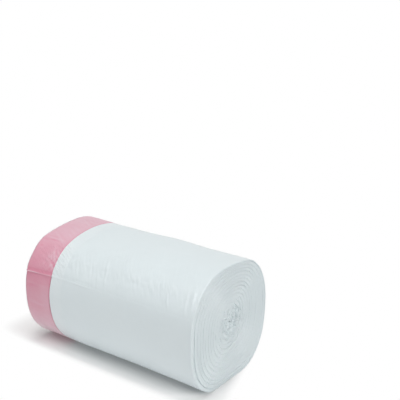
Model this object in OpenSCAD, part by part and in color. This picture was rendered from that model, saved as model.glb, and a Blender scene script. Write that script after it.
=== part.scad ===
// A soft coreless roll of drawstring bin bags, lying on its side.
// The folded bag film is one long web, wound from the middle outwards, and each turn drawn here
// is a bundle of the many thin layers of a real roll. One end of every turn is the bags' hem,
// and the drawtape runs inside it, wound with the film.
// X runs along the roll, from the hem end to the end with the folded bag bottoms.
// The origin is on the table under the middle of the roll.

/* [Roll] */
// Length of the roll, which is the height of a bag folded in four
roll_length = 150; // [110:1:220]
// Width of the roll at its folded end, from side to side
roll_width = 86; // [60:1:120]
// Height of the roll at its folded end, as it lies on its flat spot
roll_height = 83; // [60:1:115]
// How much less the roll bulges below its middle than above it
sag = 2; // [0:0.25:6]
// How much of the underside is pressed flat
flat_drop = 0.8; // [0.2:0.1:2]
// Squareness of the section, where 2 is an ellipse
squareness = 2.45; // [2:0.05:3]

/* [Turns] */
// Number of turns from the middle to the outside
turn_count = 16; // [10:1:19]
// Slack between one turn and the next
turn_gap = 0.2; // [0.1:0.05:0.4]
// How far the folded edge of each turn is rounded back
fold_round = 1.1; // [0.5:0.1:3]
// How much longer than round the first turns are, as they were crushed with no core
core_stretch = 1.2; // [1:0.05:1.4]
// Direction of the crushed middle's long way, from the far side over the top
core_tilt = 62; // [0:1:180]
// How far the crushed middle lies off the roll's middle, the same way
core_shift = 3.5; // [0:0.25:6]
// How deep the middle of the folded end lies below its outer turns
core_sink = 1.5; // [0:0.1:3]

/* [Loose end] */
// Where the loose end lies, in degrees from the far side over the top
tail_angle = 154; // [100:1:200]
// Thickness of the film at the loose end
tail_thick = 0.4; // [0.3:0.05:0.8]
// How far the last wrap's folded edge stands back from the others
wrap_setback = 2.8; // [0:0.1:5]

/* [Hem and drawtape] */
// Width of the drawtape
tape_width = 25; // [15:1:35]
// Thickness that the drawtape takes in one full turn
tape_thick = 1.1; // [0.6:0.05:1.4]
// How far the film folds on past the drawtape's outer edge
tape_margin = 0.6; // [0.4:0.1:2]
// Clearance round the drawtape in its hem
tape_clearance = 0.05; // [0.03:0.01:0.1]
// How much the hem's extra layers swell the roll's sides, at the drawtape's inner edge
hem_swell = 1.8; // [0:0.1:2.5]
// How much they swell them at the very end
end_swell = 1.3; // [0:0.1:2.5]
// How far past the drawtape the swelling runs out
swell_run = 60; // [30:1:80]

/* [Hidden] */
film_color = "#dfe7ea";
tape_color = "#d58ea6";

half_width = roll_width / 2;
axis_level = (roll_height - sag) / 2;
top_height = roll_height - axis_level;
under_height = axis_level + flat_drop;
mean_radius = (half_width + top_height) / 2;
turn_pitch = half_width / turn_count;

near_end = roll_length / 2;
hem_end = -near_end;
tape_inner_edge = hem_end + tape_margin + tape_width;
swell_end = tape_inner_edge + swell_run;

// The stretch of the outside, past the loose end, where the last wrap is set back
setback_middle = 25;
setback_reach = 60;

// Winding angles, in degrees. The first turn starts with a small hole left in the middle,
// and the last one thins out to the loose end so that the outside stays smooth.
first_angle = 360 * 1.2;
full_angle = 360 * turn_count;
last_angle = 360 + full_angle * (1 - tail_thick / half_width);

// Sections through the winding, counted back from the loose end: close together outside,
// further apart inside. Every step divides 360, so neighbouring turns have parallel facets.
outer_step = 7.5;
middle_step = 15;
inner_step = 30;
outer_span = 360 * 1.5;
middle_span = 360 * 13;
whole_span = last_angle - first_angle;
windings = [
    for (a = [0 : outer_step : outer_span]) last_angle - a,
    for (a = [outer_span + middle_step : middle_step : min(middle_span, whole_span)]) last_angle - a,
    for (a = [middle_span + inner_step : inner_step : whole_span]) last_angle - a
];

// Direction in which a winding angle points
function direction(winding) = tail_angle + winding - last_angle;

// Swelling of the sides at a place along the roll
function swell(x) =
    lookup(x, [[hem_end, end_swell], [tape_inner_edge, hem_swell], [swell_end, 0]]);

// Radius of a squarish round with a given height above or below its middle
function squarish(angle, height) =
    let (c = abs(cos(angle)) / half_width, s = abs(sin(angle)) / height)
    pow(pow(c, squareness) + pow(s, squareness), -1 / squareness);

// Radius of the outside: its sides swell at the hem as its top sinks, and it is flat underneath
function outer_radius(angle, x) =
    sin(angle) < 0
    ? min(squarish(angle, under_height) + swell(x) * pow(cos(angle), 2), axis_level / -sin(angle))
    : squarish(angle, top_height) + swell(x) * cos(2 * angle);

// Radius of the crushed middle's oval, for a mean radius of the whole roll
function core_radius(angle) =
    let (c = cos(angle - core_tilt) / core_stretch, s = sin(angle - core_tilt) * core_stretch)
    mean_radius / sqrt(c * c + s * s);

// Radius at a share of the way out, going over from the oval to the outside
function winding_radius(angle, share, x) =
    share * (core_radius(angle) * (1 - share) + outer_radius(angle, x) * share);

// A point of the section at a winding angle: x along the roll, and its share of the way out
function section_point(angle, p) =
    let (r = winding_radius(angle, p[1], p[0]), shift = core_shift * (1 - p[1]))
    [
        p[0],
        r * cos(angle) + shift * cos(core_tilt),
        r * sin(angle) + shift * sin(core_tilt) + axis_level
    ];

// Shares of the way out at which a turn's inside, its tape's inside and its outside lie. Half of
// the slack is on either side of a turn, and none is left outside the last one.
half_gap = turn_gap / 2 / half_width;
function inside_share(winding) = (winding - 360) / full_angle + half_gap;
function outside_share(winding) = winding < full_angle
    ? winding / full_angle - half_gap * min(1, (full_angle - winding) / 360)
    : 1;
function recess_share(winding) =
    let (inside = inside_share(winding), outside = outside_share(winding))
    outside - (outside - inside) * tape_thick / turn_pitch;

// Where the folded edge of a turn lies: sunk in the middle, and set back near the loose end
function folded_edge(winding) =
    let (before_tail = last_angle - winding)
    let (past_tail = before_tail < 180 ? -before_tail : 360 - before_tail)
    near_end - core_sink * pow(max(0, 1 - 2 * inside_share(winding)), 2)
    - wrap_setback * max(0, 1 - abs(past_tail - setback_middle) / setback_reach);

// The film's section, starting at the corner that the drawtape's inner edge meets. It is rounded
// where the film is folded, and past the drawtape it is the lip of the hem.
function film_section(winding) =
    let (a = inside_share(winding), b = outside_share(winding), m = recess_share(winding))
    let (edge = folded_edge(winding), back = min(fold_round, (edge - swell_end) / 2))
    let (lip_edge = hem_end + tape_margin)
    [
        [tape_inner_edge, m],
        [tape_inner_edge, b],
        [swell_end, b],
        [edge - back, b],
        [edge - back * 0.3, b - (b - a) * 0.15],
        [edge, (a + b) / 2],
        [edge - back * 0.3, a + (b - a) * 0.15],
        [edge - back, a],
        [swell_end, a],
        [tape_inner_edge, a],
        [lip_edge, a],
        [hem_end, a + (b - a) * 0.2],
        [hem_end, b - (b - a) * 0.2],
        [lip_edge, b],
        [lip_edge, m]
    ];

// The drawtape's section, in the recess on the outside of the film
function tape_section(winding) =
    let (m = recess_share(winding) + tape_clearance / half_width, b = outside_share(winding))
    let (inner = tape_inner_edge - tape_clearance)
    let (outer = hem_end + tape_margin + tape_clearance)
    [[outer, m], [outer, b], [inner, b], [inner, m]];

// One solid swept through the sections of a winding, closed at the loose end and in the middle.
// The facets of both its faces are split the same way, so that turns never touch in between.
module wound(sections) {
    n = len(sections[0]);
    last = len(sections) - 1;
    points = [
        for (i = [0 : last], p = sections[i]) section_point(direction(windings[i]), p)
    ];
    sides = [
        for (i = [0 : last - 1], j = [0 : n - 1])
            let (k = (j + 1) % n, here = i * n, next = here + n)
            each sections[i][j][0] <= sections[i][k][0]
                ? [[here + j, next + j, next + k], [here + j, next + k, here + k]]
                : [[here + j, next + j, here + k], [next + j, next + k, here + k]]
    ];
    tail_cap = [for (j = [0 : n - 1]) j];
    core_cap = [for (j = [n - 1 : -1 : 0]) last * n + j];
    polyhedron(points, concat([tail_cap, core_cap], sides), convexity = 10);
}

module film_roll() {
    color(film_color) wound([for (w = windings) film_section(w)]);
}

module draw_tape() {
    color(tape_color) wound([for (w = windings) tape_section(w)]);
}

film_roll();
draw_tape();
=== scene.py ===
import math

import bpy
import numpy as np
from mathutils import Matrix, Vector


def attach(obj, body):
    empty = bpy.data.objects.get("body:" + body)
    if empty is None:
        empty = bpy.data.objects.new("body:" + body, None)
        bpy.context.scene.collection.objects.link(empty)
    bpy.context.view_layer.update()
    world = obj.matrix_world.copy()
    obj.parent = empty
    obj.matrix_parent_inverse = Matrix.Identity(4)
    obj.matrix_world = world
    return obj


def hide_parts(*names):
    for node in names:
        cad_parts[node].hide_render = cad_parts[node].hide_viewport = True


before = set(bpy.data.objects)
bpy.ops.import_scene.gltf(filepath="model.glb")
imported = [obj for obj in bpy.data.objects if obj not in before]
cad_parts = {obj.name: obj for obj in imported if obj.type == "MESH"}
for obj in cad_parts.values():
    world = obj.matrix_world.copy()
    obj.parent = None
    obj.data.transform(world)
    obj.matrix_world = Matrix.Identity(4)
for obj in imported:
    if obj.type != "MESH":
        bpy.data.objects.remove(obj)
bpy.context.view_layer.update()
bpy.ops.object.select_all(action="DESELECT")
print("frame loaded")

mm = 0.001

# The roll's section and winding, as the solids have them
roll = {
    "foldedEnd": 75 * mm,
    "hemEnd": -75 * mm,
    "width": 86 * mm,
    "topHeight": 42.5 * mm,
    "underHeight": 41.3 * mm,
    "axisLevel": 40.5 * mm,
    "squareness": 2.45,
    "tapeInnerEdge": -49.4 * mm,
    "tapeOuterEdge": -74.4 * mm,
    "swellEnd": 10.6 * mm,
    "hemSwell": 1.8 * mm,
    "endSwell": 1.3 * mm,
    "coreStretch": 1.2,
    "coreTilt": math.radians(62),
    "coreShift": 3.5 * mm,
    "turns": 16,
    "firstTurn": 1.2,  # where the first turn starts, which leaves a small hole in the middle
    "slack": 0.2 * mm,
    "tapeThickness": 1.1 * mm,
    "tail": math.radians(154),
    "tailThickness": 0.4 * mm,
}

turn = 2 * math.pi
halfWidth = roll["width"] / 2
meanRadius = (halfWidth + roll["topHeight"]) / 2
fullAngle = turn * roll["turns"]
firstAngle = turn * roll["firstTurn"]
lastAngle = turn + fullAngle * (1 - roll["tailThickness"] / halfWidth)
halfSlack = roll["slack"] / 2 / halfWidth
pitch = halfWidth / roll["turns"]


def squarish(angle, height):
    across = np.abs(np.cos(angle)) / halfWidth
    upright = np.abs(np.sin(angle)) / height
    power = roll["squareness"]
    return (across ** power + upright ** power) ** (-1 / power)


def outsideRadius(angle, x):
    marks = [roll["hemEnd"], roll["tapeInnerEdge"], roll["swellEnd"]]
    swell = np.interp(x, marks, [roll["endSwell"], roll["hemSwell"], 0])
    sine = np.sin(angle)
    above = squarish(angle, roll["topHeight"]) + swell * np.cos(2 * angle)
    below = squarish(angle, roll["underHeight"]) + swell * np.cos(angle) ** 2
    flat = roll["axisLevel"] / np.maximum(-sine, 1e-6)
    return np.where(sine < 0, np.minimum(below, flat), above)


def coreRadius(angle):
    turned = angle - roll["coreTilt"]
    along = np.cos(turned) / roll["coreStretch"]
    across = np.sin(turned) * roll["coreStretch"]
    return meanRadius / np.hypot(along, across)


# y and z of a point at a share of the way out, where 1 is the outside
def sectionPoint(angle, share, x):
    radius = share * (coreRadius(angle) * (1 - share) + outsideRadius(angle, x) * share)
    shift = roll["coreShift"] * (1 - share)
    y = radius * np.cos(angle) + shift * math.cos(roll["coreTilt"])
    z = radius * np.sin(angle) + shift * math.sin(roll["coreTilt"]) + roll["axisLevel"]
    return y, z


def insideShare(winding):
    return (winding - turn) / fullAngle + halfSlack


def outsideShare(winding):
    slack = halfSlack * np.clip((fullAngle - winding) / turn, 0, 1)
    return np.where(winding < fullAngle, winding / fullAngle - slack, 1)


def direction(winding):
    return roll["tail"] + winding - lastAngle


# Soft unevenness of the whole roll, the same on every turn: slow waves, and where it was squeezed
unevenness = {
    "waves": [
        # rise, waves along the roll, waves round it, start
        (0.12 * mm, 0.7, 2, 0.4),
        (0.10 * mm, 1.3, 3, 2.1),
        (0.09 * mm, 1.9, 1, 4.0),
        (0.08 * mm, 2.6, 4, 1.2),
        (0.06 * mm, 3.7, 5, 5.2),
    ],
    "secondWave": (0.6, 0.7),  # each runs back the other way too, lower and longer by these
    # degrees round the roll, and how far it stands out there, in mm: at the folded end, at the hem
    # end, and what is added at the drawtape's inner edge
    "squeezed": [
        (12, 0.9, 0.5, 0.0), (29, 0.5, 0.6, 0.0), (44, 0.6, 1.2, 0.0), (58, 1.0, 2.2, -0.2),
        (71, -0.3, 1.6, 0.4), (89, 0.0, 0.4, 1.6), (109, 0.4, -0.8, 1.1), (119, 0.4, -0.3, 0.0),
        (127, 0.3, 0.5, -0.8), (134, -0.1, -0.1, -0.3), (142, -0.6, -0.5, -0.3), (156, 0.8, 0.6, -0.9),
        (177, -0.6, 0.5, 0.5), (204, -0.4, 0.3, -0.4), (221, 0.7, 0.3, -0.8), (238, 1.9, 1.0, -0.3),
        (252, 1.4, 0.8, 0.0), (273, 0.2, 0.3, 0.0), (288, 0.9, 0.5, 0.0), (306, 1.7, 0.6, 0.0),
        (318, 1.2, 0.6, 0.0), (332, 1.0, 0.4, 0.0), (344, 0.6, 0.3, 0.0), (358, 1.0, 0.3, 0.0),
    ],
    "tapeEdgeReach": 16 * mm,
    "endsUnderneath": 9,  # how soon it all ends towards the side that the roll lies on
    "squeezeSpread": 4.2,  # degrees
}


def rollWaves(x, angle):
    length = roll["foldedEnd"] - roll["hemEnd"]
    height = np.zeros(np.broadcast(x, angle).shape)
    lower, longer = unevenness["secondWave"]
    for rise, alongWaves, roundWaves, start in unevenness["waves"]:
        phase = turn * alongWaves * x / length
        height += rise * np.cos(phase + roundWaves * angle + start)
        height += rise * lower * np.cos(phase * longer - roundWaves * angle + 2 * start)
    degrees = np.arange(360)
    fromTop = np.minimum(degrees, 360 - degrees)
    spread = np.exp(-0.5 * (fromTop / unevenness["squeezeSpread"]) ** 2)
    softening = np.fft.rfft(spread / spread.sum())
    marks, *rises = np.array(unevenness["squeezed"]).T
    softRises = []
    for rise in rises:
        soft = np.fft.irfft(np.fft.rfft(np.interp(degrees, marks, rise, period=360)) * softening)
        softRises.append(np.interp(np.degrees(angle), degrees, soft, period=360) * mm)
    foldedRise, hemRise, tapeRise = softRises
    along = np.clip((x - roll["hemEnd"]) / length, 0, 1)
    atTapeEdge = np.exp(-((x - roll["tapeInnerEdge"]) / unevenness["tapeEdgeReach"]) ** 2)
    height += hemRise + (foldedRise - hemRise) * along + tapeRise * atTapeEdge
    return height * np.clip((1 + np.sin(angle)) * unevenness["endsUnderneath"], 0, 1)


# Creases pressed into the film: each is a soft ridge with a place, a lean, a length and a width,
# and a wider, shallower trough runs along it
creaseTrough = {"depth": 0.45, "width": 2}  # for a ridge 1 high and 1 wide


def creaseHeight(x, angle, creases):
    height = np.zeros(np.broadcast(x, angle).shape)
    for crease in creases:
        along = x - crease["x"]
        around = (np.mod(angle - crease["angle"] + math.pi, turn) - math.pi) * meanRadius
        lean = crease["lean"]  # 0 runs round the roll, a quarter turn runs along it
        down = around * math.cos(lean) + along * math.sin(lean)
        across = (along * math.cos(lean) - around * math.sin(lean)) / crease["width"]
        trough = creaseTrough["depth"] * np.exp(-(across / creaseTrough["width"]) ** 2)
        ridge = np.exp(-across ** 2) - trough
        height += crease["rise"] * ridge * np.exp(-(down / crease["length"]) ** 2)
    return height


def scatterCreases(family, seed):
    draw = np.random.default_rng(seed)
    creases = []
    for _ in range(family["count"]):
        creases.append({
            "x": draw.uniform(*family["x"]),
            "angle": math.radians(draw.uniform(*family["degrees"])),
            "lean": math.radians(draw.normal(family["lean"], family["leanSpread"])),
            "length": draw.uniform(*family["length"]),
            "width": draw.uniform(*family["width"]),
            "rise": draw.uniform(*family["rise"]),
        })
    return creases


# The loose end: it runs a little askew, its edge curls up, and the film dips just before it. Past
# the hem it is thinner, and its edge shows only here and there
looseEnd = {
    "askew": [(-75, 5.3), (-49, 3.4), (75, 2.6)],  # x in mm, degrees further round than the solids
    "askewReach": math.radians(40),
    "shows": [  # x in mm, amount
        (-75, 1), (-50, 1), (-48, 0.35), (-36, 0.15), (-30, 0.2), (-26, 0.8), (-14, 0.65), (-10, 0),
        (75, 0),
    ],
    "curl": 0.3 * mm,
    "curlWidth": 0.7 * mm,
    "curlPatches": (5 * mm, 13 * mm),  # it curls up more here and less there
    "curlVaries": 0.35,
    "dip": 0.4 * mm,
    "dipAt": 1.5 * mm,
    "dipWidth": 0.6 * mm,
    "thinned": 0.34 * mm,
    "thinReach": math.radians(30),
}


# The directions in which a web's rows point, for its places along the roll
def facing(windings, x):
    marks, degrees = np.array(looseEnd["askew"]).T
    further = np.radians(np.interp(x, marks * mm, degrees))
    before = (lastAngle - windings)[:, None]
    turned = further * np.clip(1 - before / looseEnd["askewReach"], 0, 1) ** 2
    return direction(windings)[:, None] + turned


# How much of the hem's milky film shows over the red tape, with painted light in it. Round the roll it is
# paler on top, a painted sheen, palest underneath, painted light, and redder at the side; where the film
# lifts it is whiter and where it dips redder, partly the film and partly painted highlight and shade; a
# painted highlight runs along the loose edge; and at the tape's inner edge it is redder
veil = {
    # round the roll: paler on top is a painted sheen, palest underneath is painted light, redder at the
    # side
    "round": [
        (0, 0.5), (40, 0.75), (72, 1.0), (85, 0.95), (100, 0.86), (120, 0.72), (130, 0.5), (145, 0.4),
        (155, 0.35), (160, 0.2), (172, 0.4), (192, 0.55), (207, 0.95), (218, 1.6), (235, 1.6),
        (255, 0.9), (300, 0.6),
    ],
    # whiter where the film lifts and redder where it dips: partly the film standing off the tape, partly
    # painted highlight and shade
    "liftShows": 3.2 / mm,
    # a painted highlight along the loose edge
    "looseEdgeHighlight": [(-75, 0.8), (-66, 0.9), (-61, 0.3), (-55, 0.0), (-49, 0.0)],  # x in mm
    "looseEdgeHighlightWidth": 0.8 * mm,
    "innerEdge": 0.4,
    "innerEdgeWidth": 1.2 * mm,
}


def veilAndPaintedLightAmount(windings, angle, x, lift):
    # painted sheen on top and painted light underneath, by degrees round the roll
    marks, amounts = np.array(veil["round"]).T
    amount = np.interp(np.degrees(angle), marks, amounts, period=360)
    marks, amounts = np.array(veil["looseEdgeHighlight"]).T
    beforeEdge = (lastAngle - windings) * meanRadius / veil["looseEdgeHighlightWidth"]
    # the painted highlight along the loose edge
    amount += np.interp(x, marks * mm, amounts) * np.exp(-beforeEdge ** 4)
    innerEdge = veil["innerEdge"] * np.exp(-((x - roll["tapeInnerEdge"]) / veil["innerEdgeWidth"]) ** 2)
    # with a painted highlight on what lifts and painted shade in the dips
    return amount + veil["liftShows"] * lift - innerEdge


# How crinkled the film is: most where it was drawn tight, just above the loose end
crinkles = {"least": 0.3, "middle": math.radians(139), "reach": math.radians(15)}


def crinkleAmount(angle):
    away = np.mod(angle - crinkles["middle"] + math.pi, turn) - math.pi
    return crinkles["least"] + (1 - crinkles["least"]) * np.exp(-(away / crinkles["reach"]) ** 2)


# A flat web is added, given its two faces, and then wound up: each row of it lies at one winding
# angle, and each column at one place along the roll
flatWeb = {"size": 1, "thickness": 0.1, "sharpFrom": math.radians(50)}


def woundWeb(name, windings, shape):
    rows, columns = shape["x"].shape
    size = flatWeb["size"]
    bpy.ops.mesh.primitive_grid_add(x_subdivisions=columns - 1, y_subdivisions=rows - 1, size=size)
    web = bpy.context.object
    web.name = web.data.name = name
    faces = web.modifiers.new("faces", "SOLIDIFY")
    faces.thickness = flatWeb["thickness"]
    faces.offset = 0
    bpy.ops.object.modifier_apply(modifier=faces.name)
    mesh = web.data
    flat = np.empty(len(mesh.vertices) * 3, np.float32)
    mesh.vertices.foreach_get("co", flat)
    flat = flat.reshape(-1, 3)
    column = np.rint((flat[:, 0] / size + 0.5) * (columns - 1)).astype(int)
    row = np.rint((flat[:, 1] / size + 0.5) * (rows - 1)).astype(int)
    inner = flat[:, 2] > 0  # the flat web's upper face turns to the roll's middle
    angle = facing(windings, shape["x"])[row, column]
    x = shape["x"][row, column]
    share = np.where(inner, shape["inside"][row, column], shape["outside"][row, column])
    y, z = sectionPoint(angle, share, x)
    lift = shape["lift"][row, column]
    rise = lift + rollWaves(x, angle) * np.clip(share, 0, 1) ** 2
    y = y + rise * np.cos(angle)
    z = z + rise * np.sin(angle)
    flatX = x
    x, y, z = crumple(x, y, z)
    z = np.maximum(z, 0)
    mesh.vertices.foreach_set("co", np.stack([x, y, z], 1).astype(np.float32).ravel())
    corners = np.empty(len(mesh.loops), int)
    mesh.loops.foreach_get("vertex_index", corners)
    arc = windings[row] * meanRadius
    webMap = mesh.uv_layers.new(name="web")
    webMap.data.foreach_set("uv", np.stack([arc, x], 1)[corners].astype(np.float32).ravel())
    marks = {
        "layer": share,
        # the veil over the tape, with its painted sheen, light and shade
        "veil": veilAndPaintedLightAmount(windings[row], angle, flatX, lift),
        "crinkled": crinkleAmount(angle),
    }
    for mark, values in marks.items():
        attribute = mesh.attributes.new(mark, "FLOAT", "POINT")
        attribute.data.foreach_set("value", values.astype(np.float32))
    mesh.update()
    bpy.ops.object.shade_smooth_by_angle(angle=flatWeb["sharpFrom"])
    print(name, "wound:", rows, "rows,", columns, "columns,", len(mesh.polygons), "faces")
    return web


# The roll was started with no core, so its middle is crushed and its first turns are wrinkled
crushedMiddle = {
    "reach": 15 * mm,
    "lower": 3 * mm,
    "rise": 0.6 * mm,
    "waveLength": 6 * mm,
    # the wrinkles that move it sideways and up: share, waves across, waves up, turn along x, start
    "sideways": [(1, 0.5, 0.9, 30, 0), (0.6, 1.3, -0.8, 22, 2)],
    "upright": [(1, 1.1, -0.3, -26, 1), (0.6, 0.9, 1.2, 18, 4)],
    # pits in the folded end: how deep, waves across and up, how far wrinkles bend them, and their level
    "pits": 0.6 * mm,
    "pitWaves": (1.4, 1.3),
    "pitBends": (2, 1.5),
    "pitLevel": -0.4,
    "pitsFrom": 0.5,  # share of the way to the folded end
}


def wrinkles(waves, x, y, z):
    k = turn / crushedMiddle["waveLength"]
    height = 0
    for share, across, up, along, start in waves:
        height = height + share * np.sin(k * (across * y + up * z) + start + along * x)
    return height


def crumple(x, y, z):
    centreY = roll["coreShift"] * math.cos(roll["coreTilt"])
    centreZ = roll["axisLevel"] + roll["coreShift"] * math.sin(roll["coreTilt"]) - crushedMiddle["lower"]
    away = np.hypot(y - centreY, z - centreZ)
    amount = np.exp(-(away / crushedMiddle["reach"]) ** 3)
    moveY = wrinkles(crushedMiddle["sideways"], x, y, z)
    moveZ = wrinkles(crushedMiddle["upright"], x, y, z)
    k = turn / crushedMiddle["waveLength"]
    (across, up), (bendAcross, bendUp) = crushedMiddle["pitWaves"], crushedMiddle["pitBends"]
    rows = np.sin(k * across * y + bendAcross * moveZ) * np.sin(k * up * z + bendUp * moveY + 1)
    start = crushedMiddle["pitsFrom"] * roll["foldedEnd"]
    nearEnd = np.clip((x - start) / (roll["foldedEnd"] - start), 0, 1) ** 4
    pits = (rows + crushedMiddle["pitLevel"]) * nearEnd
    rise = crushedMiddle["rise"] * amount
    return x + crushedMiddle["pits"] * pits * amount, y + rise * moveY, z + rise * moveZ


# How the folded edges stand: a little in and out from turn to turn, and sunk in the middle. Each
# turn's edge is two soft folds, with a narrow groove on either side and a shallow one between
foldedEdge = {
    "sink": 1.5 * mm,
    "wobble": 0.3 * mm,
    "wobblePressed": 0.2,  # share of it that is left where the turns are pressed flat
    "wobbleWaves": (0.23, 0.37, 0.61, 1.13, 1.7, 2.9, 4.3),  # cycles per turn
    "wobbleTotal": 2.4,  # brings the sum of the waves down to about 1
    "steps": (0, 0.1, 0.26, 0.5, 0.74, 0.9, 0.98),  # from a turn's face to its middle
    "fullness": 3.0,
    "between": 0.45,
    "blunt": 0.14,  # a folded edge is never thinner than this share of its turn
    "closed": 0.98,  # share of the slack that is taken up where the folds touch
    "groove": (0.28 * mm, 0.75 * mm),  # how far back the grooves between turns reach, least and most
    "setback": 0.7 * mm,
    "setbackMiddle": math.radians(48),
    "setbackReach": math.radians(50),
    # how loosely the turns lie: anywhere, where they are loose, from turn to turn, how far out the
    # loose middle reaches, and the loose sides by degrees, reach and amount
    "looseAnywhere": 0.15,
    "looseMost": 0.8,
    "looseVaries": 0.3,
    "looseMiddle": 0.18,
    "looseSides": [(186, 42, 0.7), (15, 52, 1.0)],
    # places where two turns stand apart: degrees, distance from the middle in mm, reach, depth in mm
    "openings": [
        (20, 10, 40, 0.6), (-60, 12, 22, 0.65), (160, 6.5, 36, 0.4), (-88, 16, 14, 0.7),
        (-115, 11, 20, 0.5), (55, 25, 10, 0.4), (47, 33, 13, 0.35), (200, 38, 30, 0.15),
        (10, 36, 45, 0.15), (-130, 22, 16, 0.15),
    ],
}
wobbleSeeds = {"foldedEnd": 3, "looseness": 5, "hemEnd": 8}


def edgeWobble(winding, seed):
    draw = np.random.default_rng(seed)
    wobble = np.zeros_like(winding)
    for cyclesPerTurn in foldedEdge["wobbleWaves"]:
        wobble += np.cos(cyclesPerTurn * winding + draw.uniform(0, turn)) / (1 + cyclesPerTurn)
    return wobble / foldedEdge["wobbleTotal"]


# Past the loose end, the outermost turn draws back a little and comes forward again
def setBack(winding):
    pastTail = turn - (lastAngle - winding)
    reach = (pastTail - foldedEdge["setbackMiddle"]) / foldedEdge["setbackReach"]
    return foldedEdge["setback"] * (0.5 + 0.5 * np.cos(math.pi * np.clip(reach, -1, 1)))


# Some sides of the folded end are wound loosely, so their edges show, and others are pressed flat
def looseness(winding):
    degrees = np.degrees(direction(winding))
    share = np.clip(insideShare(winding), 0, 1)
    loose = np.exp(-(share / foldedEdge["looseMiddle"]) ** 2)
    for middle, reach, amount in foldedEdge["looseSides"]:
        away = np.mod(degrees - middle + 180, 360) - 180
        loose = loose + amount * np.exp(-(away / reach) ** 2)
    varied = foldedEdge["looseVaries"] * edgeWobble(winding, wobbleSeeds["looseness"])
    return np.clip(foldedEdge["looseAnywhere"] + foldedEdge["looseMost"] * loose + varied, 0, 1)


def grooveDepth(winding):
    least, most = foldedEdge["groove"]
    depth = least + (most - least) * looseness(winding)
    for degrees, away, reach, extra in foldedEdge["openings"]:
        wanted = fullAngle * away * mm / meanRadius
        wanted += np.mod(math.radians(degrees) - direction(wanted) + math.pi, turn) - math.pi
        depth = depth + extra * mm * np.exp(-((winding - wanted) / math.radians(reach)) ** 2)
    return depth


def nearEdge(winding):
    share = np.clip(insideShare(winding), 0, 1)
    sink = foldedEdge["sink"] * np.clip(1 - 2 * share, 0, 1) ** 2
    pressed = foldedEdge["wobblePressed"]
    wobble = foldedEdge["wobble"] * (pressed + (1 - pressed) * looseness(winding))
    wobble *= np.abs(edgeWobble(winding, wobbleSeeds["foldedEnd"]))
    return roll["foldedEnd"] - sink - wobble - setBack(winding)


# The hem's own edge, a lip of film round the drawtape's outer edge
hemEdge = {
    "wobble": 0.25 * mm,
    "steps": (0, 0.08, 0.3, 0.65, 1),  # from the very end to the drawtape
    "rounded": 0.9,
    "fullness": 2.2,
    "recessLean": 0.03 * mm,  # how much the walls of the drawtape's recess lean
}


def farEdge(winding):
    return roll["hemEnd"] + hemEdge["wobble"] * np.abs(edgeWobble(winding, wobbleSeeds["hemEnd"]))


# How thick a folded edge still is, as a share of the turn, at a depth in from it
def foldShape(depth, back, power):
    into = np.clip(depth / back, 0, 1)
    return np.maximum((1 - (1 - into) ** power) ** (1 / power), foldedEdge["blunt"])


# The folded edge of a turn inside the roll: its x and the shares of its two faces
def pressedFolds(near, depth, inside, outside):
    steps = np.array(foldedEdge["steps"])
    deepness = np.where(steps < 0.5, 1, foldedEdge["between"])
    rise = np.abs(2 * steps - 1) ** foldedEdge["fullness"] * deepness
    half = (outside - inside) / 2
    return near - depth * rise, inside + half * steps, outside - half * steps


# The outermost turn's edge, rounded over. It starts as the turns below it do
lastTurnRim = {
    "steps": (1, 0.82, 0.64, 0.47, 0.32, 0.19, 0.09, 0.03, 0),
    "fullness": 2.6,
    "back": 0.8 * mm,
    "groove": 0.06 * mm,  # further back where it meets the next turn
    "lean": 0.4,
    "startsOver": math.radians(30),
}


def roundedRim(windings, near, depth, inside, outside):
    started = np.clip((windings - windings[0]) / lastTurnRim["startsOver"], 0, 1)[:, None]
    depth = depth + (lastTurnRim["back"] + lastTurnRim["groove"]) * started
    lean = lastTurnRim["lean"] * started
    x = near - depth * np.array(lastTurnRim["steps"])
    thin = (1 - foldShape(near - x, depth, lastTurnRim["fullness"])) * (outside - inside) / 2
    return x, inside + thin * (1 - lean), outside - thin * (1 + lean)


def looseEndLift(windings, x):
    before = (lastAngle - windings)[:, None] * meanRadius
    curl = looseEnd["curl"] * np.exp(-(before / looseEnd["curlWidth"]) ** 2)
    dip = looseEnd["dip"] * np.exp(-((before - looseEnd["dipAt"]) / looseEnd["dipWidth"]) ** 2)
    marks, shows = np.array(looseEnd["shows"]).T
    short, long = looseEnd["curlPatches"]
    varied = looseEnd["curlVaries"] * np.cos(x / short) * np.cos(x / long + 1)
    patchy = 1 - looseEnd["curlVaries"] + varied
    return (curl * patchy - dip) * np.interp(x, marks * mm, shows)


# The film of the bags. Its hem end has a recess on the outside, in which the drawtape lies, and
# the turns are pressed together at the folded end. The first turn is spread to fill the middle
firstTurnFills = {"least": 0.6, "power": 8}


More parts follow.
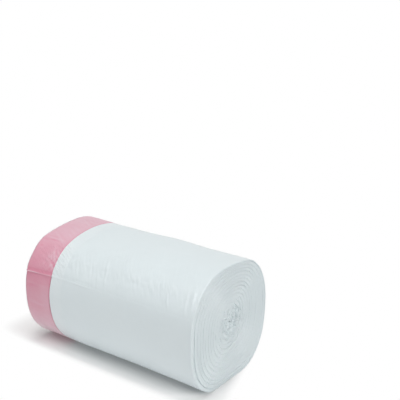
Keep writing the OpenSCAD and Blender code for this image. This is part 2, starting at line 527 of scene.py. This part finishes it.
def filmShape(windings, bodyColumns, recessColumns, outermost):
    filled = np.clip((windings - firstAngle) / turn, firstTurnFills["least"], 1) ** firstTurnFills["power"]
    inside, outside = (insideShare(windings) * filled)[:, None], outsideShare(windings)[:, None]
    near, far = nearEdge(windings)[:, None], farEdge(windings)[:, None]
    lip = roll["tapeOuterEdge"] - far
    hemX = far + lip * np.array(hemEdge["steps"])
    hemThickness = foldShape(hemX - far, lip * hemEdge["rounded"], hemEdge["fullness"])
    hemFold = (1 - hemThickness) * (outside - inside) / 2
    recessStart = roll["tapeOuterEdge"] + hemEdge["recessLean"]
    recessEnd = roll["tapeInnerEdge"] - hemEdge["recessLean"]
    recessX = np.linspace(recessStart, recessEnd, recessColumns) + 0 * far
    recess = (outside - inside) * roll["tapeThickness"] / pitch
    nearTail = np.clip(1 - (lastAngle - windings) / looseEnd["thinReach"], 0, 1) ** 2
    thinned = outside - (looseEnd["thinned"] * nearTail)[:, None] / halfWidth
    closed = foldedEdge["closed"] * halfSlack * (inside > halfSlack)
    depth = grooveDepth(windings)[:, None]
    if outermost:
        foldX, foldInside, foldOutside = roundedRim(windings, near, depth, inside - closed, thinned)
    else:
        folds = pressedFolds(near, depth, inside - closed, np.minimum(outside + closed, 1))
        foldX, foldInside, foldOutside = folds
    bodySteps = np.linspace(0, 1, bodyColumns + 1)[:-1]
    bodyX = roll["tapeInnerEdge"] + (foldX[:, :1] - roll["tapeInnerEdge"]) * bodySteps
    insides = [inside + hemFold, inside + 0 * recessX, inside + 0 * bodyX, foldInside]
    outsides = [outside - hemFold, outside - recess + 0 * recessX, thinned + 0 * bodyX, foldOutside]
    return {
        "x": np.concatenate([hemX, recessX, bodyX, foldX], 1),
        "inside": np.concatenate(insides, 1),
        "outside": np.concatenate(outsides, 1),
    }


# The drawtape, which fills the recess and stands a little proud of the film
drawtape = {
    "under": 0.03 * mm,  # clearance below it and at its two edges
    "beside": 0.08 * mm,
    "edgeRound": 0.35 * mm,
    "fullness": 2,
    "proudInside": 0.05 * mm,
    "proudOutside": 0.1 * mm,
}


def tapeShape(windings, columns, proud):
    inside, outside = insideShare(windings)[:, None], outsideShare(windings)[:, None]
    thickness = (outside - inside) * roll["tapeThickness"] / pitch
    recess = outside - thickness + drawtape["under"] / halfWidth
    start, end = roll["tapeOuterEdge"] + drawtape["beside"], roll["tapeInnerEdge"] - drawtape["beside"]
    x = np.linspace(start, end, columns)[None] + 0 * outside
    rounded = foldShape(np.minimum(x - start, end - x), drawtape["edgeRound"], drawtape["fullness"])
    top = outside + proud / halfWidth
    return {"x": x, "inside": recess + 0 * x, "outside": recess + (top - recess) * rounded}


# What is pressed into the outside: tension creases round the roll, a few long ones along it,
# puckers where the film is drawn in at the hem, and the places that show in the photograph
creaseFamilies = [
    {"count": 150, "x": (-38 * mm, 73 * mm), "degrees": (114, 158), "lean": 26, "leanSpread": 10,
     "length": (1.5 * mm, 5 * mm), "width": (0.4 * mm, 1.0 * mm), "rise": (-0.08 * mm, 0.2 * mm)},
    {"count": 60, "x": (-38 * mm, 73 * mm), "degrees": (60, 240), "lean": 27, "leanSpread": 10,
     "length": (5 * mm, 12 * mm), "width": (0.9 * mm, 1.8 * mm), "rise": (-0.06 * mm, 0.14 * mm)},
    {"count": 130, "x": (-38 * mm, 73 * mm), "degrees": (-110, 70), "lean": 25, "leanSpread": 12,
     "length": (3 * mm, 10 * mm), "width": (0.8 * mm, 1.6 * mm), "rise": (-0.08 * mm, 0.2 * mm)},
    {"count": 30, "x": (-40 * mm, 66 * mm), "degrees": (-90, 250), "lean": 88, "leanSpread": 7,
     "length": (8 * mm, 24 * mm), "width": (0.9 * mm, 1.8 * mm), "rise": (-0.12 * mm, 0.12 * mm)},
    {"count": 130, "x": (-49 * mm, -37 * mm), "degrees": (-100, 250), "lean": 55, "leanSpread": 28,
     "length": (1.2 * mm, 4 * mm), "width": (0.4 * mm, 0.8 * mm), "rise": (-0.1 * mm, 0.3 * mm)},
    {"count": 50, "x": (-72 * mm, -51 * mm), "degrees": (-100, 250), "lean": 80, "leanSpread": 22,
     "length": (3 * mm, 11 * mm), "width": (0.6 * mm, 1.2 * mm), "rise": (-0.14 * mm, 0.14 * mm)},
]

# Bunches of short creases: how many, x in mm, degrees round, lean, and the most they rise, in mm
creaseBunches = [
    (5, (-22, -15), (136, 146), 24, 0.30),
    (8, (-12, 1), (130, 147), 24, 0.34),
    (5, (8, 18), (133, 141), 14, 0.28),
    (9, (19, 34), (137, 147), 24, 0.34),
    (7, (36, 50), (134, 146), 26, 0.34),
    (11, (50, 71), (137, 155), 22, 0.40),
    (10, (-41, -22), (124, 146), 40, 0.24),
    (12, (-58, -50), (136, 155), 55, 0.26),
    (9, (-48, -40), (126, 156), 58, 0.34),
]

bunchForm = {"leanSpread": 9, "length": (1.8 * mm, 5 * mm), "width": (0.45 * mm, 0.95 * mm)}
bunchLeastRise = 0.3  # of the most
firstCreaseSeed = 40
creasesEndUnder = 1.2  # how soon they end on the side that the roll lies on

ownCreases = [
    # x in mm, degrees round, lean, length, width, rise in mm
    (29, 139.5, 80, 7, 0.8, 0.22),
    (28, 141.5, 80, 7, 0.7, -0.15),
    (-26, 160, 90, 8, 0.7, 0.14),
    (70, 138, 12, 6, 1.5, 0.4),
    (-44, 140, 55, 5, 1.1, 0.3),
    (-62, 122.5, 88, 10, 0.8, 0.22),
    (-66, 124.5, 96, 6, 0.8, -0.34),
    (-70, 133, 75, 4, 0.6, -0.16),
    (-53, 141, 50, 4, 0.7, 0.24),
    (-52, 146, 60, 3.5, 0.7, -0.24),
]


def outsideCreases(windings, x):
    families = list(creaseFamilies)
    for count, along, degrees, lean, rise in creaseBunches:
        family = dict(bunchForm, count=count, x=np.multiply(along, mm), degrees=degrees, lean=lean)
        family["rise"] = (bunchLeastRise * rise * mm, rise * mm)
        families.append(family)
    creases = []
    for seed, family in enumerate(families, firstCreaseSeed):
        creases += scatterCreases(family, seed)
    for place, degrees, lean, length, width, rise in ownCreases:
        creases.append({"x": place * mm, "angle": math.radians(degrees), "lean": math.radians(lean),
                        "length": length * mm, "width": width * mm, "rise": rise * mm})
    angle = facing(windings, x)
    onTop = np.clip(1 + np.sin(angle) * creasesEndUnder, 0, 1)
    return creaseHeight(x, angle, creases) * onTop


# The hem's weld, a pressed line with the film a little gathered on either side
hemWeld = {"x": -38.5 * mm, "width": 0.6 * mm, "depth": 0.2 * mm}


def weldLift(x):
    return -hemWeld["depth"] * np.exp(-((x - hemWeld["x"]) / hemWeld["width"]) ** 2)


# The outermost turn is a web of its own, with finer rows and columns
rowsOfWebs = {
    "innerStep": math.radians(5),
    "overlap": math.radians(12),
    "seam": math.radians(0.1),
    "outer": 222,
}
columnsOfWebs = {"innerFilm": (6, 2), "innerTape": 5, "outerFilm": (202, 4), "outerTape": 60}
innerEnd = lastAngle - turn - rowsOfWebs["overlap"]
innerWindings = np.arange(firstAngle, innerEnd, rowsOfWebs["innerStep"])
outerWindings = np.linspace(innerWindings[-1] + rowsOfWebs["seam"], lastAngle, rowsOfWebs["outer"])

shape = filmShape(innerWindings, *columnsOfWebs["innerFilm"], False)
shape["lift"] = 0 * shape["x"]
filmTurns = woundWeb("film_turns", innerWindings, shape)

shape = tapeShape(innerWindings, columnsOfWebs["innerTape"], drawtape["proudInside"])
shape["lift"] = 0 * shape["x"]
tapeTurns = woundWeb("tape_turns", innerWindings, shape)

shape = filmShape(outerWindings, *columnsOfWebs["outerFilm"], True)
shape["lift"] = outsideCreases(outerWindings, shape["x"]) + looseEndLift(outerWindings, shape["x"])
shape["lift"] += weldLift(shape["x"])
lastWrap = woundWeb("last_wrap", outerWindings, shape)

shape = tapeShape(outerWindings, columnsOfWebs["outerTape"], drawtape["proudOutside"])
shape["lift"] = outsideCreases(outerWindings, shape["x"]) + looseEndLift(outerWindings, shape["x"])
tapeBand = woundWeb("tape_band", outerWindings, shape)


# Shader maths: a value that adds its Math node when it is used in an expression
class Value:
    def __init__(self, shading, socket):
        self.shading = shading
        self.socket = socket

    def math(self, operation, first, second):
        added = self.shading.node("Math", {"operation": operation}, input0=first, input1=second)
        return Value(self.shading, added.outputs[0])

    def __add__(self, other):
        return self.math("ADD", self, other)

    def __radd__(self, other):
        return self.math("ADD", other, self)

    def __sub__(self, other):
        return self.math("SUBTRACT", self, other)

    def __rsub__(self, other):
        return self.math("SUBTRACT", other, self)

    def __mul__(self, other):
        return self.math("MULTIPLY", self, other)

    def __rmul__(self, other):
        return self.math("MULTIPLY", other, self)

    def sine(self):
        return self.math("SINE", self, 0.0)

    def orElse(self, other):
        return self.math("MAXIMUM", self, other)


# The nodes of a material, or of the world
class Shading:
    def __init__(self, owner):
        owner.use_nodes = True
        self.tree = owner.node_tree
        self.tree.nodes.clear()

    # adds a node: its settings first, then the values or links of its sockets
    def node(self, kind, settings=None, **inputs):
        added = self.tree.nodes.new("ShaderNode" + kind)
        for key, value in (settings or {}).items():
            setattr(added, key, value)
        for key, value in inputs.items():
            slot = self.socketOf(added, key)
            if isinstance(value, Value):
                self.tree.links.new(value.socket, slot)
            elif isinstance(value, bpy.types.NodeSocket):
                self.tree.links.new(value, slot)
            else:
                slot.default_value = value
        return added

    def socketOf(self, added, key):
        if key.startswith("input"):
            return added.inputs[int(key[5:])]
        spaced = key[0] + "".join(" " + letter if letter.isupper() else letter for letter in key[1:])
        return added.inputs[spaced]

    def value(self, socket):
        return Value(self, socket)

    def attribute(self, name):
        return self.value(self.node("Attribute", {"attribute_name": name}).outputs["Fac"])

    # mixes two colours, with the amount kept between 0 and 1
    def mix(self, amount, first, second):
        added = self.node("Mix", {"data_type": "RGBA"}, input0=amount, input6=first, input7=second)
        return added.outputs[2]

    def vector(self, operation, first, second):
        return self.node("VectorMath", {"operation": operation}, input0=first, input1=second).outputs[0]

    def ramp(self, source, low, high):
        settings = {"interpolation_type": "SMOOTHSTEP"}
        added = self.node("MapRange", settings, input0=source, input1=low, input2=high)
        return self.value(added.outputs[0])

    # noise drawn out along a line that leans on the wound web, from 0 to 1
    def streaks(self, web, form):
        lean, scale = (0, 0, form["lean"]), (form["length"], form["width"], 1.0)
        turned = self.node("Mapping", {"vector_type": "TEXTURE"}, Vector=web, Rotation=lean, Scale=scale)
        place = turned.outputs[0]
        noise = self.node("TexNoise", Vector=place, Scale=1.0, Detail=form["detail"], Roughness=0.5)
        return self.value(noise.outputs["Fac"])

    # soft round noise on the object's own coordinates, from 0 to 1
    def clouds(self, form):
        place = self.node("TexCoord").outputs["Object"]
        scale = 1 / form["size"]
        noise = self.node("TexNoise", Vector=place, Scale=scale, Detail=form["detail"], Roughness=0.55)
        return self.value(noise.outputs["Fac"])

    # the surface of film: its colour, and its gloss and bumps from its wrinkles
    def filmSurface(self, colour, crinkle, height, finish):
        bump = self.node("Bump", Height=height, Distance=1.0, Strength=finish["bump"])
        varies = finish["roughnessVaries"]
        roughness = crinkle * varies + (finish["roughness"] - varies / 2)
        surface = self.node("BsdfPrincipled", BaseColor=colour, Roughness=roughness, Normal=bump.outputs[0])
        self.node("OutputMaterial", Surface=surface.outputs[0])

    # 1 for the rays that show the surroundings, and 0 for those that only light the object
    def seenRays(self):
        rays = self.node("LightPath").outputs
        seen = self.value(rays["Is Camera Ray"])
        return seen.orElse(rays["Is Glossy Ray"]).orElse(rays["Is Transmission Ray"])


# Milky bag film. Places are x along the roll
filmFinish = {
    "light": (0.765, 0.835, 0.853, 1),
    "shade": (0.73, 0.806, 0.826, 1),
    "clouds": {"size": 36 * mm, "detail": 3.0},
    "hem": (0.80, 0.852, 0.866, 1),
    "hemFrom": (-38.2 * mm, -39.2 * mm),
    "hemShows": 0.35,
    "overTape": (0.84, 0.775, 0.79, 1),  # the lip round the drawtape's edge
    "besideTape": (0.80, 0.50, 0.58, 1),  # and in it, the part of each turn where the drawtape is
    "lipFrom": (-74.3 * mm, -74.5 * mm),
    "lipShows": 0.8,
    "tapeStarts": (0.5, 0.62),  # share of the way from a turn's inside to its outside
    "tapeEnds": (0.98, 0.88),
    "roughness": 0.36,
    "roughnessVaries": 0.12,
    "bump": 0.8,
    "creases": {"lean": math.radians(27), "length": 8 * mm, "width": 2 * mm, "detail": 1.0},
    "creaseHeight": 0.42 * mm,
    "bunches": {"size": 12 * mm, "detail": 1.0},
    "bunched": (0.42, 0.62),
    "crinkle": {"lean": 0.4, "length": 6 * mm, "width": 2 * mm, "detail": 3.0},
    "crinkleHeight": 0.08 * mm,
    "puckers": {"lean": 1.1, "length": 5 * mm, "width": 1.5 * mm, "detail": 2.0},
    "puckerHeight": 1.2 * mm,
    "puckersFrom": (-37 * mm, -44 * mm),
    "puckersTo": (-70 * mm, -60 * mm),
    # thin layers, which show on both ends
    "layersInTurn": 4,
    "layerHeight": 0.05 * mm,
    "layersFrom": (73.0 * mm, 74.0 * mm),
    "hemLayersFrom": (-74.4 * mm, -74.9 * mm),
    "hemLayersShow": 1.6,
}


def makeFilm():
    material = bpy.data.materials.new("milky_bag_film")
    film = Shading(material)
    web = film.node("UVMap", {"uv_map": "web"}).outputs["UV"]
    places = film.node("SeparateXYZ", Vector=web)
    arc, x = film.value(places.outputs["X"]), film.value(places.outputs["Y"])
    turnShare = film.attribute("layer") * roll["turns"] - arc * (1 / (turn * meanRadius)) + 1.0
    hemZone = film.ramp(x, *filmFinish["hemFrom"])
    lip = film.ramp(x, *filmFinish["lipFrom"]) * filmFinish["lipShows"]
    colour = film.mix(film.clouds(filmFinish["clouds"]), filmFinish["shade"], filmFinish["light"])
    colour = film.mix(hemZone * filmFinish["hemShows"], colour, filmFinish["hem"])
    colour = film.mix(lip, colour, filmFinish["overTape"])
    besideTape = film.ramp(turnShare, *filmFinish["tapeStarts"])
    besideTape = besideTape * film.ramp(turnShare, *filmFinish["tapeEnds"])
    colour = film.mix(lip * besideTape, colour, filmFinish["besideTape"])
    bunched = film.ramp(film.clouds(filmFinish["bunches"]), *filmFinish["bunched"])
    creases = film.streaks(web, filmFinish["creases"]) * bunched * film.attribute("crinkled")
    crinkle = film.streaks(web, filmFinish["crinkle"])
    puckers = film.streaks(web, filmFinish["puckers"]) * film.attribute("crinkled")
    puckers = puckers * film.ramp(x, *filmFinish["puckersFrom"]) * film.ramp(x, *filmFinish["puckersTo"])
    layers = (film.attribute("layer") * (roll["turns"] * filmFinish["layersInTurn"] * turn)).sine()
    hemLayers = film.ramp(x, *filmFinish["hemLayersFrom"]) * filmFinish["hemLayersShow"]
    layers = layers * (film.ramp(x, *filmFinish["layersFrom"]) + hemLayers)
    height = creases * filmFinish["creaseHeight"] + crinkle * filmFinish["crinkleHeight"]
    height = height + puckers * filmFinish["puckerHeight"] + layers * filmFinish["layerHeight"]
    film.filmSurface(colour, crinkle, height, filmFinish)
    return material


# Red drawtape seen through the hem's milky film
tapeFinish = {
    "deep": (0.69, 0.27, 0.365, 1),
    "pale": (0.745, 0.47, 0.55, 1),
    # the palest colour: painted light underneath the roll and a painted highlight along the loose edge
    "edge": (0.86, 0.78, 0.80, 1),
    "paintedLightFrom": 1.1,  # how white the veil is where this painted light comes in: underneath the roll and along the loose edge
    "edgeShows": 0.9,
    "clouds": {"size": 26 * mm, "detail": 3.0},
    "cloudsShow": 0.9,
    "roughness": 0.36,
    "roughnessVaries": 0.12,
    "bump": 0.8,
    "crinkle": {"lean": 0.0, "length": 3.3 * mm, "width": 11 * mm, "detail": 3.0},
    "crinkleHeight": 0.10 * mm,
    "puckers": {"lean": 0.9, "length": 4 * mm, "width": 1.4 * mm, "detail": 2.0},
    "puckerHeight": 1.1 * mm,
    "puckersLeast": 0.55,  # near the hem end, and in full near the drawtape's inner edge
    "puckersFrom": (-66 * mm, -54 * mm),
    # pucker tops are whiter: partly the film standing off the tape, partly a painted highlight
    "puckerHighlightFrom": (0.4, 0.6),
    "puckerHighlightShows": 0.35,
}


def makeTape():
    material = bpy.data.materials.new("pink_drawtape")
    tape = Shading(material)
    web = tape.node("UVMap", {"uv_map": "web"}).outputs["UV"]
    x = tape.value(tape.node("SeparateXYZ", Vector=web).outputs["Y"])
    least = tapeFinish["puckersLeast"]
    puckers = tape.streaks(web, tapeFinish["puckers"]) * tape.attribute("crinkled")
    puckers = puckers * (least + (1 - least) * tape.ramp(x, *tapeFinish["puckersFrom"]))
    cloudy = (tape.clouds(tapeFinish["clouds"]) - 0.5) * tapeFinish["cloudsShow"]
    whiteness = tape.attribute("veil") + cloudy
    # whiter pucker tops, partly a painted highlight
    whiteness = whiteness + tape.ramp(puckers, *tapeFinish["puckerHighlightFrom"]) * tapeFinish["puckerHighlightShows"]
    colour = tape.mix(whiteness, tapeFinish["deep"], tapeFinish["pale"])
    # the painted light underneath and the painted highlight at the loose edge
    whitest = (whiteness - tapeFinish["paintedLightFrom"]) * tapeFinish["edgeShows"]
    colour = tape.mix(whitest, colour, tapeFinish["edge"])
    crinkle = tape.streaks(web, tapeFinish["crinkle"])
    height = crinkle * tapeFinish["crinkleHeight"] + puckers * tapeFinish["puckerHeight"]
    tape.filmSurface(colour, crinkle, height, tapeFinish)
    return material


filmMaterial, tapeMaterial = makeFilm(), makeTape()
for piece, material, node, slot in (
    (filmTurns, filmMaterial, "film_roll", "bag_film"),
    (lastWrap, filmMaterial, "film_roll", "bag_film"),
    (tapeTurns, tapeMaterial, "draw_tape", "tape_film"),
    (tapeBand, tapeMaterial, "draw_tape", "tape_film"),
):
    piece.data.materials.append(material)
    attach(piece, "root")
    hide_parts(node)
for node, material in (("film_roll", filmMaterial), ("draw_tape", tapeMaterial)):
    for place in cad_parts[node].material_slots:
        place.material = material
print("finishes made")

# Table, sky and lights. The table lights the roll as a plain one, and glows a little close to it, which
# lights its underside. It is seen whiter: it fades to the white of the sky round the roll, sooner past the
# folded end, and close by it carries a painted shadow
studio = {
    "tableSize": 6.0,
    "tableSquares": 8,
    "table": (0.88, 0.88, 0.885, 1),
    "tableSeen": (0.925, 0.92, 0.915, 1),
    # a painted shadow: the table is seen darker close to the roll
    "tablePaintedShadow": (0.76, 0.755, 0.75, 1),
    "paintedShadowEnds": (0.60, 0.80),  # shares of the fade's reach
    "fadeFrom": 0.66,
    "fadeMiddle": (-0.008, 0.0, 0),
    "fadeReach": (0.110, 0.047, 1),
    "fadePastEnd": (0.072, 0.084),
    "fadeSlant": 0.35,
    "underGlow": 0.15,  # how much the table glows close to the roll, for the rays that light it; it lights the roll's underside
    "sky": (1.0, 1.0, 1.0, 1),
    "skyStrength": 0.15,
    "aim": (0, 0, 0.04),
    "lamps": [
        {"name": "top_lamp", "from": (0.0, 0.02, 1.20), "size": 0.3, "power": 4.4},
        {"name": "key_lamp", "from": (0.05, -0.60, 1.00), "size": 0.45, "power": 2.15},
        {"name": "left_lamp", "from": (-0.40, -0.58, 0.95), "size": 0.4, "power": 1.6},
        {"name": "front_lamp", "from": (0.10, -1.20, 0.12), "size": 0.5, "power": 2.45},
        {"name": "end_lamp", "from": (1.15, 0.10, 0.55), "size": 0.5, "power": 5.95},
        {"name": "back_lamp", "from": (-1.20, 0.20, 0.45), "size": 0.6, "power": 1.7},
    ],
}


def makeTable():
    bpy.ops.object.select_all(action="DESELECT")
    squares, size = studio["tableSquares"], studio["tableSize"]
    bpy.ops.mesh.primitive_grid_add(x_subdivisions=squares, y_subdivisions=squares, size=size)
    tableTop = bpy.context.object
    tableTop.name = "table"
    material = bpy.data.materials.new("white_table")
    top = Shading(material)
    table = top.node("TexCoord").outputs["Object"]
    away = top.vector("DIVIDE", top.vector("SUBTRACT", table, studio["fadeMiddle"]), studio["fadeReach"])
    away = top.vector("MULTIPLY", away, away)
    away = top.vector("MULTIPLY", away, away)  # to the fourth power, so the fade is rounded like a box
    away = top.node("VectorMath", {"operation": "LENGTH"}, input0=away).outputs["Value"]
    fadeFrom, *paintedShadowEnds = (share ** 4 for share in (studio["fadeFrom"], *studio["paintedShadowEnds"]))
    parts = top.node("SeparateXYZ", Vector=table)
    slanted = top.value(parts.outputs["X"]) + top.value(parts.outputs["Y"]) * studio["fadeSlant"]
    far = top.ramp(away, fadeFrom, 1.0).orElse(top.ramp(slanted, *studio["fadePastEnd"]))
    # the painted shadow close to the roll
    colour = top.mix(top.ramp(away, *paintedShadowEnds), studio["tablePaintedShadow"], studio["tableSeen"])
    seen = top.node("BsdfDiffuse", Color=colour).outputs[0]
    plain = top.node("BsdfDiffuse", Color=studio["table"]).outputs[0]
    white = top.node("Emission", Color=(1, 1, 1, 1), Strength=1.0).outputs[0]
    seen = top.node("MixShader", input0=far, input1=seen, input2=white).outputs[0]
    # the table glows close to the roll, though it is no lamp, to light the roll's underside
    underGlow = (1.0 - far) * studio["underGlow"]
    unseen = top.node("MixShader", input0=underGlow, input1=plain, input2=white).outputs[0]
    both = top.node("MixShader", input0=top.seenRays(), input1=unseen, input2=seen)
    top.node("OutputMaterial", Surface=both.outputs[0])
    tableTop.data.materials.append(material)


def makeSky():
    world = bpy.data.worlds.new("studio")
    bpy.context.scene.world = world
    sky = Shading(world)
    light = sky.node("Background", Color=studio["sky"], Strength=studio["skyStrength"])
    white = sky.node("Background", Color=(1, 1, 1, 1), Strength=1.0)
    both = sky.node("MixShader", input0=sky.seenRays(), input1=light.outputs[0], input2=white.outputs[0])
    sky.node("OutputWorld", Surface=both.outputs[0])


def makeLamps():
    for lamp in studio["lamps"]:
        bpy.ops.object.light_add(type="AREA", location=lamp["from"])
        soft = bpy.context.object
        soft.name = lamp["name"]
        soft.data.shape = "DISK"
        soft.data.size = lamp["size"]
        soft.data.energy = lamp["power"]
        aim = Vector(studio["aim"]) - Vector(lamp["from"])
        soft.rotation_euler = aim.to_track_quat("-Z", "Y").to_euler()


makeTable()
makeSky()
makeLamps()

# The photograph's camera
photoCamera = {
    "place": (0.3416, -0.3896, 0.2723),
    "ahead": (-0.573, 0.7648, -0.2945),
    "lens": 70.73,
    "sensor": 36,
    "clip": (0.01, 50),
}


def makeCamera():
    bpy.ops.object.camera_add(location=photoCamera["place"])
    camera = bpy.context.object
    camera.rotation_euler = Vector(photoCamera["ahead"]).to_track_quat("-Z", "Y").to_euler()
    camera.data.lens = photoCamera["lens"]
    camera.data.sensor_width = photoCamera["sensor"]
    camera.data.clip_start, camera.data.clip_end = photoCamera["clip"]
    bpy.context.scene.camera = camera


makeCamera()
bpy.context.scene.view_settings.view_transform = "Standard"
print("studio ready")
